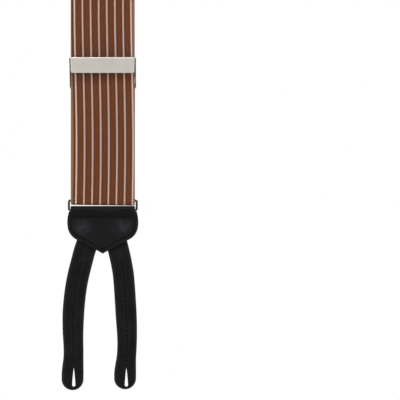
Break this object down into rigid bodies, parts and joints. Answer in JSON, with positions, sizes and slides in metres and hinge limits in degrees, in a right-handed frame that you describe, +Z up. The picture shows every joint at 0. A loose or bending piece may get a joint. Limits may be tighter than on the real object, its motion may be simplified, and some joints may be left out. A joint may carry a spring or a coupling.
{
  "type": "suspenders",
  "caption": "Button-on Y-back suspenders: striped elastic webbing, lever adjusters, wire rings, leather crowns with paired button loops, and a leather crosspatch.",
  "frame": {"origin": "centre of the crosspatch's inner face, where it lies on the wearer's back", "axes": "+Z up along the hanging straps, -Y towards the front of the wearer, +X to the wearer's left"},
  "size_m": [0.2286, 0.1293, 0.4773],
  "materials": {
    "webbing": "woven elastic webbing, chestnut brown with fine white dotted stripes",
    "leather": "black smooth calf leather, satin",
    "nickel": "plain nickel plate, satin polished",
    "black_wire": "black lacquered steel wire",
    "black_thread": "waxed black thread",
    "brown_thread": "dark brown thread"
  },
  "bodies": {
    "root": {"left_strap": "webbing", "right_strap": "webbing", "crosspatch_face": "leather", "crosspatch_lining": "leather", "crosspatch_stitching": "black_thread", "rear_strap": "webbing", "rear_strap_stitching": "brown_thread"},
    "left_strap_end": {"left_lower_webbing": "webbing"},
    "left_adjuster": {"left_adjuster_frame": "nickel", "left_adjuster_pin": "nickel", "left_end_stitching": "brown_thread"},
    "left_lever": {"left_adjuster_lever": "nickel"},
    "left_ring_body": {"left_ring": "black_wire"},
    "left_crown_body": {"left_crown_face": "leather", "left_crown_lining": "leather", "left_crown_stitching": "black_thread", "left_inner_loop": "leather", "left_outer_loop": "leather"},
    "right_strap_end": {"right_lower_webbing": "webbing"},
    "right_adjuster": {"right_adjuster_frame": "nickel", "right_adjuster_pin": "nickel", "right_end_stitching": "brown_thread"},
    "right_lever": {"right_adjuster_lever": "nickel"},
    "right_ring_body": {"right_ring": "black_wire"},
    "right_crown_body": {"right_crown_face": "leather", "right_crown_lining": "leather", "right_crown_stitching": "black_thread", "right_inner_loop": "leather", "right_outer_loop": "leather"},
    "rear_ring_body": {"rear_ring": "black_wire"},
    "rear_crown_body": {"rear_crown_face": "leather", "rear_crown_lining": "leather", "rear_crown_stitching": "black_thread", "rear_left_loop": "leather", "rear_right_loop": "leather"}
  },
  "joints": [
    {"name": "left_strap_length", "type": "slide", "parent": "root", "child": "left_strap_end", "axis": [0, 0, 1], "range_m": [-0.044, 0.1], "deforming": ["left_lower_webbing"]},
    {"name": "left_adjuster_travel", "type": "slide", "parent": "left_strap_end", "child": "left_adjuster", "axis": [0, 0, 1], "range_m": [-0.044, 0.1]},
    {"name": "left_lever_flip", "type": "hinge", "parent": "left_adjuster", "child": "left_lever", "pos_m": [0.095, -0.12215, -0.0832], "axis": [-1, 0, 0], "range_deg": [0, 130]},
    {"name": "left_ring_swing", "type": "hinge", "parent": "left_strap_end", "child": "left_ring_body", "pos_m": [0.095, -0.11785, -0.16], "axis": [1, 0, 0], "range_deg": [-60, 60]},
    {"name": "left_crown_swing", "type": "hinge", "parent": "left_ring_body", "child": "left_crown_body", "pos_m": [0.095, -0.11785, -0.1652], "axis": [1, 0, 0], "range_deg": [-60, 60]},
    {"name": "right_strap_length", "type": "slide", "parent": "root", "child": "right_strap_end", "axis": [0, 0, 1], "range_m": [-0.044, 0.1], "deforming": ["right_lower_webbing"]},
    {"name": "right_adjuster_travel", "type": "slide", "parent": "right_strap_end", "child": "right_adjuster", "axis": [0, 0, 1], "range_m": [-0.044, 0.1]},
    {"name": "right_lever_flip", "type": "hinge", "parent": "right_adjuster", "child": "right_lever", "pos_m": [-0.095, -0.12215, -0.0832], "axis": [-1, 0, 0], "range_deg": [0, 130]},
    {"name": "right_ring_swing", "type": "hinge", "parent": "right_strap_end", "child": "right_ring_body", "pos_m": [-0.095, -0.11785, -0.16], "axis": [1, 0, 0], "range_deg": [-60, 60]},
    {"name": "right_crown_swing", "type": "hinge", "parent": "right_ring_body", "child": "right_crown_body", "pos_m": [-0.095, -0.11785, -0.1652], "axis": [1, 0, 0], "range_deg": [-60, 60]},
    {"name": "rear_ring_swing", "type": "hinge", "parent": "root", "child": "rear_ring_body", "pos_m": [0, 0.00125, -0.16], "axis": [1, 0, 0], "range_deg": [-60, 60]},
    {"name": "rear_crown_swing", "type": "hinge", "parent": "rear_ring_body", "child": "rear_crown_body", "pos_m": [0, 0.00125, -0.1652], "axis": [1, 0, 0], "range_deg": [-60, 60]}
  ],
  "couplings": [
    {"joint": "left_adjuster_travel", "follows": "left_strap_length", "ratio": 1},
    {"joint": "right_adjuster_travel", "follows": "right_strap_length", "ratio": 1}
  ]
}
